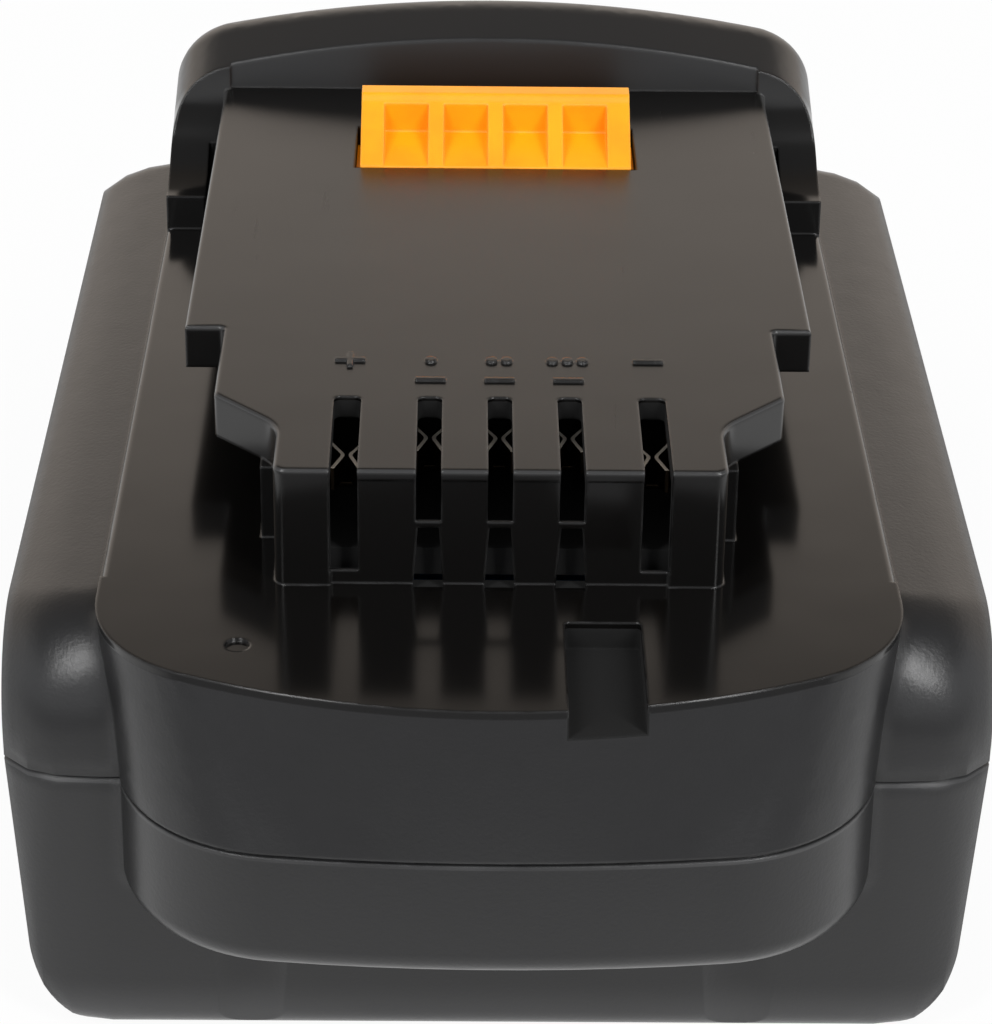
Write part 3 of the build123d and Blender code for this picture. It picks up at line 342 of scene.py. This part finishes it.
latchLook = {
    "colour": (1.0, 0.385, 0.003, 1.0),
    "shade": (0.98, 0.315, 0.002, 1.0),
    "shadeFrom": 0.3,
    "shadeTo": 0.75,
    # painted highlight and wear: the latch is lighter along every edge
    "edge": (1.0, 0.53, 0.08, 1.0),
    "edgeWear": 0.6,
    "edgeRadius": 0.0004,
    "glow": (1.0, 0.30, 0.0, 1.0),  # painted glow: the latch gives off light of its own, standing in for light that the thin walls let through
    "glowStrength": 0.10,
    "milkiness": 0.15,
    "milkRadius": (0.002, 0.001, 0.0003),
    "roughness": 0.32,
    "cloudScale": 160,
    "cloudRoughness": 0.08,
    "grainScale": 1800,
    "grainHeight": 0.00002,
    "grainStrength": 0.3,
}


def latchFinish(name, look):
    finish = Finish(name)
    cloud = finish.noise(look["cloudScale"], 3.0)
    shaded = finish.fade(cloud, look["shadeFrom"], look["shadeTo"])
    colour = finish.mixColours(shaded, look["colour"], look["shade"])
    # painted highlight and wear along the edges
    edges = finish.edges(look["edgeRadius"]) * look["edgeWear"]
    grain = finish.noise(look["grainScale"])
    return finish.skin({
        "Base Color": finish.mixColours(edges, colour, look["edge"]),
        "Roughness": look["roughness"] + cloud * look["cloudRoughness"],
        "Normal": finish.bump(grain, look["grainStrength"], look["grainHeight"],
                              finish.roundedNormal(look["edgeRadius"])),
        # painted glow: emission makes the latch shine like a lamp
        "Emission Color": finish.mixColours(cloud, look["glow"], look["colour"]),
        "Emission Strength": look["glowStrength"],
        "Subsurface Weight": look["milkiness"],
        "Subsurface Radius": look["milkRadius"],
    })


# plain mouldings, resins and rubber

plainLook = {
    "shadeFrom": 0.35,
    "shadeTo": 0.7,
    "cloudRoughness": 0.1,
    "grainStrength": 0.5,
    "edgeRadius": 0.0002,
}

plainLooks = {
    "block_plastic": {
        "colour": (0.0012, 0.0012, 0.0012, 1.0), "shade": (0.003, 0.003, 0.003, 1.0),
        "roughness": 0.85, "cloudScale": 240, "grainScale": 2400, "grainHeight": 0.00003},
    "tray_plastic": {
        "colour": (0.02, 0.02, 0.022, 1.0), "shade": (0.032, 0.032, 0.034, 1.0),
        "roughness": 0.5, "cloudScale": 120, "grainScale": 1800, "grainHeight": 0.00003},
    "holder_plastic": {
        "colour": (0.52, 0.52, 0.49, 1.0), "shade": (0.44, 0.44, 0.42, 1.0),
        "roughness": 0.45, "cloudScale": 90, "grainScale": 1500, "grainHeight": 0.00003},
    "sheet_paper": {
        "colour": (0.10, 0.20, 0.15, 1.0), "shade": (0.06, 0.13, 0.10, 1.0),
        "roughness": 0.75, "cloudScale": 700, "grainScale": 3500, "grainHeight": 0.00005},
    "chip_resin": {
        "colour": (0.012, 0.012, 0.013, 1.0), "shade": (0.02, 0.02, 0.021, 1.0),
        "roughness": 0.55, "cloudScale": 500, "grainScale": 5000, "grainHeight": 0.00002},
    "thermistor_resin": {
        "colour": (0.012, 0.012, 0.012, 1.0), "shade": (0.03, 0.026, 0.02, 1.0),
        "roughness": 0.2, "cloudScale": 900, "grainScale": 3000, "grainHeight": 0.00002},
    "lead_red": {
        "colour": (0.42, 0.012, 0.010, 1.0), "shade": (0.33, 0.008, 0.008, 1.0),
        "roughness": 0.4, "cloudScale": 300, "grainScale": 2500, "grainHeight": 0.00002},
    "lead_black": {
        "colour": (0.012, 0.012, 0.012, 1.0), "shade": (0.022, 0.022, 0.022, 1.0),
        "roughness": 0.4, "cloudScale": 300, "grainScale": 2500, "grainHeight": 0.00002},
    "lead_white": {
        "colour": (0.68, 0.68, 0.65, 1.0), "shade": (0.58, 0.57, 0.53, 1.0),
        "roughness": 0.4, "cloudScale": 300, "grainScale": 2500, "grainHeight": 0.00002},
    "foam": {
        "colour": (0.03, 0.03, 0.033, 1.0), "shade": (0.012, 0.012, 0.013, 1.0),
        "roughness": 0.9, "cloudScale": 1100, "grainScale": 1600, "grainHeight": 0.0003},
}


def plainFinish(name, look):
    finish = Finish(name)
    cloud = finish.noise(look["cloudScale"], 3.0)
    shaded = finish.fade(cloud, look["shadeFrom"], look["shadeTo"])
    grain = finish.noise(look["grainScale"])
    return finish.skin({
        "Base Color": finish.mixColours(shaded, look["colour"], look["shade"]),
        "Roughness": look["roughness"] + cloud * look["cloudRoughness"],
        "Normal": finish.bump(grain, look["grainStrength"], look["grainHeight"],
                              finish.roundedNormal(look["edgeRadius"])),
    })


# metals

metalLook = {
    "stainScale": 260,
    "stainFrom": 0.5,
    "stainTo": 0.8,
    "stainRoughness": 0.1,
    "streakRoughness": 0.12,
    "streakStrength": 0.2,
    "streakHeight": 0.00001,
    "edgeRadius": 0.00012,
}

metalLooks = {
    "spring_steel": {
        "colour": (0.62, 0.62, 0.63, 1.0), "stain": (0.42, 0.40, 0.38, 1.0),
        "roughness": 0.3, "streaks": (1.0, 1.0, 1.0), "streakScale": 1500},
    "screw_steel": {
        "colour": (0.52, 0.51, 0.50, 1.0), "stain": (0.30, 0.28, 0.26, 1.0),
        "roughness": 0.36, "streaks": (1.0, 1.0, 1.0), "streakScale": 900},
    "link_nickel": {
        "colour": (0.70, 0.68, 0.63, 1.0), "stain": (0.55, 0.52, 0.46, 1.0),
        "roughness": 0.3, "streaks": (1.0, 0.06, 1.0), "streakScale": 2200},
    "shunt_metal": {
        "colour": (0.58, 0.52, 0.42, 1.0), "stain": (0.40, 0.34, 0.27, 1.0),
        "roughness": 0.4, "streaks": (0.1, 1.0, 1.0), "streakScale": 2200},
    "capacitor_can": {
        "colour": (0.78, 0.79, 0.80, 1.0), "stain": (0.66, 0.67, 0.69, 1.0),
        "roughness": 0.25, "streaks": (1.0, 1.0, 0.1), "streakScale": 2400},
}


def metalFinish(name, look):
    finish = Finish(name)
    streak = finish.noise(look["streakScale"], 3.0, 0.6, finish.stretched(*look["streaks"]))
    stain = finish.fade(finish.noise(look["stainScale"], 4.0, 0.6), look["stainFrom"], look["stainTo"])
    roughness = look["roughness"] + streak * look["streakRoughness"] + stain * look["stainRoughness"]
    return finish.skin({
        "Base Color": finish.mixColours(stain, look["colour"], look["stain"]),
        "Roughness": roughness,
        "Normal": finish.bump(streak, look["streakStrength"], look["streakHeight"],
                              finish.roundedNormal(look["edgeRadius"])),
        "Metallic": 1.0,
    })


clipLook = {
    # painted highlight: the top edges, facing up, are bright
    "edge": (1.0, 0.93, 0.82, 1.0),
    "edgeFrom": (0.0477, 0.0480),  # height
    "edgeFacing": (0.5, 0.8),  # how far it faces up
    "edgeRoughness": 0.2,
    "face": (0.055, 0.040, 0.026, 1.0),  # painted shade: the leaves' sides are darkened to stand for the dark slot they mirror
    "spot": (0.16, 0.10, 0.05, 1.0),
    "spotFrom": 0.5,
    "spotTo": 0.8,
    "roughness": 0.24,
    "streakScale": 2600,
    "streaks": (1.0, 1.0, 0.08),
    "streakRoughness": 0.15,
    "streakStrength": 0.2,
    "streakHeight": 0.00001,
    "edgeRadius": 0.00012,
}


def clipFinish(name, look):
    # sheared top edges are bright, the tinned faces are dull
    # painted highlight on the top edges that face up, painted shade on the leaves' sides
    finish = Finish(name)
    z = finish.axes()[2]
    # painted highlight: 1 on the top edges, which face up
    up = finish.fade(finish.facing()[2], *look["edgeFacing"]) * finish.fade(z, *look["edgeFrom"])
    streak = finish.noise(look["streakScale"], 3.0, 0.6, finish.stretched(*look["streaks"]))
    spots = finish.fade(streak, look["spotFrom"], look["spotTo"])
    colour = finish.mixColours(spots, look["face"], look["spot"])
    roughness = look["roughness"] + streak * look["streakRoughness"] + up * look["edgeRoughness"]
    return finish.skin({
        "Base Color": finish.mixColours(up, colour, look["edge"]),
        "Roughness": roughness,
        "Normal": finish.bump(streak, look["streakStrength"], look["streakHeight"],
                              finish.roundedNormal(look["edgeRadius"])),
        "Metallic": 1.0,
    })


# circuit board

boardLook = {
    "resist": (0.008, 0.075, 0.028, 1.0),
    "trace": (0.018, 0.14, 0.05, 1.0),
    "traceScale": 260,
    "traceWidth": (0.05, 0.09),
    "traceStrength": 0.3,
    "traceHeight": 0.00002,
    "core": (0.28, 0.25, 0.12, 1.0),  # the laminate's cut edge
    "coreRoughness": 0.5,
    "coreFacing": (0.6, 0.8),
    "roughness": 0.22,
    "cloudScale": 500,
    "cloudRoughness": 0.08,
}


def boardFinish(name, look):
    finish = Finish(name)
    grid = finish.node("ShaderNodeTexVoronoi", {"feature": "DISTANCE_TO_EDGE"},
                       {"Vector": finish.place, "Scale": look["traceScale"]}, "Distance")
    traces = 1 - finish.fade(grid, *look["traceWidth"])
    flat = finish.fade(abs(finish.facing()[2]), *look["coreFacing"])
    colour = finish.mixColours(traces, look["resist"], look["trace"])
    cloud = finish.noise(look["cloudScale"])
    roughness = look["roughness"] + (1 - flat) * look["coreRoughness"] + cloud * look["cloudRoughness"]
    return finish.skin({
        "Base Color": finish.mixColours(flat, look["core"], colour),
        "Roughness": roughness,
        "Normal": finish.bump(traces, look["traceStrength"], look["traceHeight"]),
    })


# cells

cellLook = {
    "wrap": (0.018, 0.075, 0.22, 1.0),
    "fold": (0.03, 0.11, 0.30, 1.0),
    "foldFrom": 0.4,
    "foldTo": 0.75,
    "steel": (0.60, 0.60, 0.61, 1.0),
    "steelFrom": (0.0316, 0.0318),  # from the middle, where the shrunk film ends
    "roughness": 0.24,
    "rippleScale": 600,
    "ripples": (0.15, 1.0, 1.0),
    "rippleRoughness": 0.12,
    "rippleStrength": 0.2,
    "rippleHeight": 0.00004,
}


def cellFinish(name, look):
    finish = Finish(name)
    x = finish.axes()[0]
    bare = finish.fade(abs(x), *look["steelFrom"])
    ripple = finish.noise(look["rippleScale"], 2.0, 0.5, finish.stretched(*look["ripples"]))
    folds = finish.fade(ripple, look["foldFrom"], look["foldTo"])
    colour = finish.mixColours(folds, look["wrap"], look["fold"])
    return finish.skin({
        "Base Color": finish.mixColours(bare, colour, look["steel"]),
        "Roughness": look["roughness"] + ripple * look["rippleRoughness"],
        "Normal": finish.bump(ripple, look["rippleStrength"], look["rippleHeight"]),
        "Metallic": bare,
    })


def everyFinish():
    finishes = {
        "casing_upper": casingFinish("polished and textured casing", casingLook),
        "casing_lower": casingFinish("textured casing", {**casingLook, "polishedFrom": 1.0}),
        "latch_plastic": latchFinish("orange latch", latchLook),
        "contact_metal": clipFinish("contact metal", clipLook),
        "board_laminate": boardFinish("green board", boardLook),
        "cell_wrap": cellFinish("wrapped cell", cellLook),
    }
    for slot, look in plainLooks.items():
        finishes[slot] = plainFinish(slot.replace("_", " "), {**plainLook, **look})
    for slot, look in metalLooks.items():
        finishes[slot] = metalFinish(slot.replace("_", " "), {**metalLook, **look})
    return finishes


# pieces

pieceLook = {
    "mergeWithin": 0.000002,
    "smoothUnder": radians(28),
    "flatWeight": 90,
}


def nameOf(node):
    words = node.split("_")
    return words[0] + "".join(word.capitalize() for word in words[1:])


def smoothPiece(node, look):
    # a merged copy of the CAD node's mesh, smooth over its curved faces
    source = frame["nodes"][node]
    piece = bpy.data.objects.new(nameOf(node), source.data.copy())
    bpy.context.scene.collection.objects.link(piece)
    bpy.ops.object.select_all(action="DESELECT")
    piece.select_set(True)
    bpy.context.view_layer.objects.active = piece
    bpy.ops.object.mode_set(mode="EDIT")
    bpy.ops.mesh.select_all(action="SELECT")
    bpy.ops.mesh.customdata_custom_splitnormals_clear()
    bpy.ops.mesh.remove_doubles(threshold=look["mergeWithin"])
    bpy.ops.object.mode_set(mode="OBJECT")
    bpy.ops.object.shade_smooth_by_angle(angle=look["smoothUnder"])
    # large flat faces stay flat beside their rounded edges
    weighted = piece.modifiers.new("flat faces", "WEIGHTED_NORMAL")
    weighted.mode = "FACE_AREA"
    weighted.weight = look["flatWeight"]
    weighted.keep_sharp = True
    bpy.ops.object.modifier_apply(modifier=weighted.name)
    return piece


def dressPack(finishes):
    slots = {part["node"]: part["material_slot"] for part in frame["record"]["subparts"]}
    bodies = frame["record"]["behaviour"]["bodies"]
    pieces = {}
    for body, nodes in bodies.items():
        for node in nodes:
            piece = smoothPiece(node, pieceLook)
            piece.data.materials.clear()
            piece.data.materials.append(finishes[slots[node]])
            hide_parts(node)
            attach(piece, body)
            pieces[node] = piece
    return pieces


springLook = {
    "nodes": ("latch_spring_left", "latch_spring_right"),
    "joint": "latch_press",
}


def squeezeSprings(pieces, look):
    # each spring gets a mesh of its own; its foot and the share of it that would stay at full travel are worked
    # out, but own_mesh takes no notice of them
    joint = next(joint for joint in frame["joints"] if joint["name"] == look["joint"])
    travel = joint["range_m"][1]
    for node in look["nodes"]:
        low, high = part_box(node)
        foot = ((low[0] + high[0]) / 2, (low[1] + high[1]) / 2, low[2])
        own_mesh(pieces[node], look["joint"], axis=(0, 0, 1), anchor=foot,
                  keep=1 - travel / (high[2] - low[2]))


# camera, floor and light

cameraLook = {
    "place": (-0.003733, -0.277565, 0.180268),
    "pitch": 0.503584,
    "yaw": 0.0140398,
    "roll": 0.0142822,
    "lens": 118.39,  # mm
    "sensor": 36.0,  # mm, the longer side
    "clipStart": 0.01,
}


def placeCamera(look):
    pitch, yaw, roll = look["pitch"], look["yaw"], look["roll"]
    ahead = Vector((sin(yaw) * cos(pitch), cos(yaw) * cos(pitch), -sin(pitch)))
    level = Vector((cos(yaw), -sin(yaw), 0.0))
    upright = level.cross(ahead)
    right = level * cos(roll) + upright * sin(roll)
    up = upright * cos(roll) - level * sin(roll)
    bpy.ops.object.camera_add()
    camera = bpy.context.object
    camera.name = "photoCamera"
    turn = Matrix((right, up, -ahead)).transposed()
    camera.matrix_world = Matrix.Translation(look["place"]) @ turn.to_4x4()
    camera.data.sensor_fit = "AUTO"
    camera.data.sensor_width = look["sensor"]
    camera.data.lens = look["lens"]
    camera.data.clip_start = look["clipStart"]
    bpy.context.scene.camera = camera


floorLook = {
    "size": 6.0,
    "colour": (0.80, 0.80, 0.80, 1.0),
    "seen": 0.95,  # how far the floor is pure white to the camera
    "mottleScale": 14,
    "mottle": 0.02,
    "mirroredNear": (1.0, 1.0, 1.0, 1.0),
    "mirroredAhead": (0.44, 0.44, 0.45, 1.0),  # in reflections it is dimmer ahead of the pack
    "dimFrom": (0.070, 0.135),
    "brightFrom": (0.25, 0.50),
}


def layFloor(look):
    bpy.ops.mesh.primitive_plane_add(size=look["size"], location=(0.0, 0.0, 0.0))
    floor = bpy.context.object
    floor.name = "floor"
    finish = Finish("pale floor")
    ahead = -1 * finish.axes()[1]
    dim = finish.fade(ahead, *look["dimFrom"]) * (1 - finish.fade(ahead, *look["brightFrom"]))
    camera, glossy, through = finish.lightRays()
    mottle = finish.noise(look["mottleScale"], 3.0) * look["mottle"]
    paint = finish.node("ShaderNodeBsdfDiffuse", {}, {"Color": look["colour"]})
    shade = finish.mixColours(glossy * dim, look["mirroredNear"], look["mirroredAhead"])
    glow = finish.node("ShaderNodeEmission", {}, {"Color": shade})
    share = (camera + through) * (look["seen"] - mottle) + glossy
    surface = finish.node("ShaderNodeMixShader", {}, {0: share, 1: paint, 2: glow})
    finish.close(surface, "ShaderNodeOutputMaterial")
    floor.data.materials.append(finish.material)


skyLook = {
    "light": 0.50,
    "seen": (1.0, 1.0, 1.0, 1.0),
    "front": (0.97, 0.98, 1.0, 1.0),
    "rear": (1.0, 0.89, 0.79, 1.0),
    "rearFrom": (0.0, 0.6),
    "zenithFrom": (0.43, 0.56),  # sines of the heights between which reflected sky darkens
    "zenithLoss": 0.75,
}


def lightSky(look):
    world = bpy.data.worlds.new("white room")
    bpy.context.scene.world = world
    world.use_nodes = True
    sky = Graph(world.node_tree, "Generated")
    x, y, z = sky.axes()
    camera, glossy, through = sky.lightRays()
    mirrored = 1 - sky.fade(z, *look["zenithFrom"]) * look["zenithLoss"]
    strength = look["light"] + glossy * (mirrored - look["light"])
    strength = strength + (camera + through) * (1 - look["light"])
    colour = sky.mixColours(sky.fade(y, *look["rearFrom"]) * glossy, look["front"], look["rear"])
    colour = sky.mixColours(camera + through, colour, look["seen"])
    sky.close(sky.node("ShaderNodeBackground", {}, {"Color": colour, "Strength": strength}),
              "ShaderNodeOutputWorld")


lampAim = (0.0, 0.0, 0.03)
lampLooks = {
    "leftSoftbox": {"place": (-0.46, -0.58, 0.84), "width": 0.16, "depth": 0.7, "watts": 5.5},
    "rightSoftbox": {"place": (0.48, -0.62, 0.80), "width": 0.16, "depth": 0.8, "watts": 6.8},
}


def hangLamp(name, look):
    bpy.ops.object.light_add(type="AREA", location=look["place"])
    lamp = bpy.context.object
    lamp.name = name
    lamp.data.shape = "RECTANGLE"
    lamp.data.size = look["width"]
    lamp.data.size_y = look["depth"]
    lamp.data.energy = look["watts"]
    towards = Vector(lampAim) - Vector(look["place"])
    lamp.rotation_euler = towards.to_track_quat("-Z", "Y").to_euler()


finishes = everyFinish()
say(f"{len(finishes)} finishes made")
pieces = dressPack(finishes)
say(f"{len(pieces)} pieces dressed")
squeezeSprings(pieces, springLook)
say("springs follow the latch")
placeCamera(cameraLook)
layFloor(floorLook)
lightSky(skyLook)
for lampName, lampLook in lampLooks.items():
    hangLamp(lampName, lampLook)
say("camera, floor and lamps in place")

bpy.context.scene.view_settings.view_transform = "Standard"
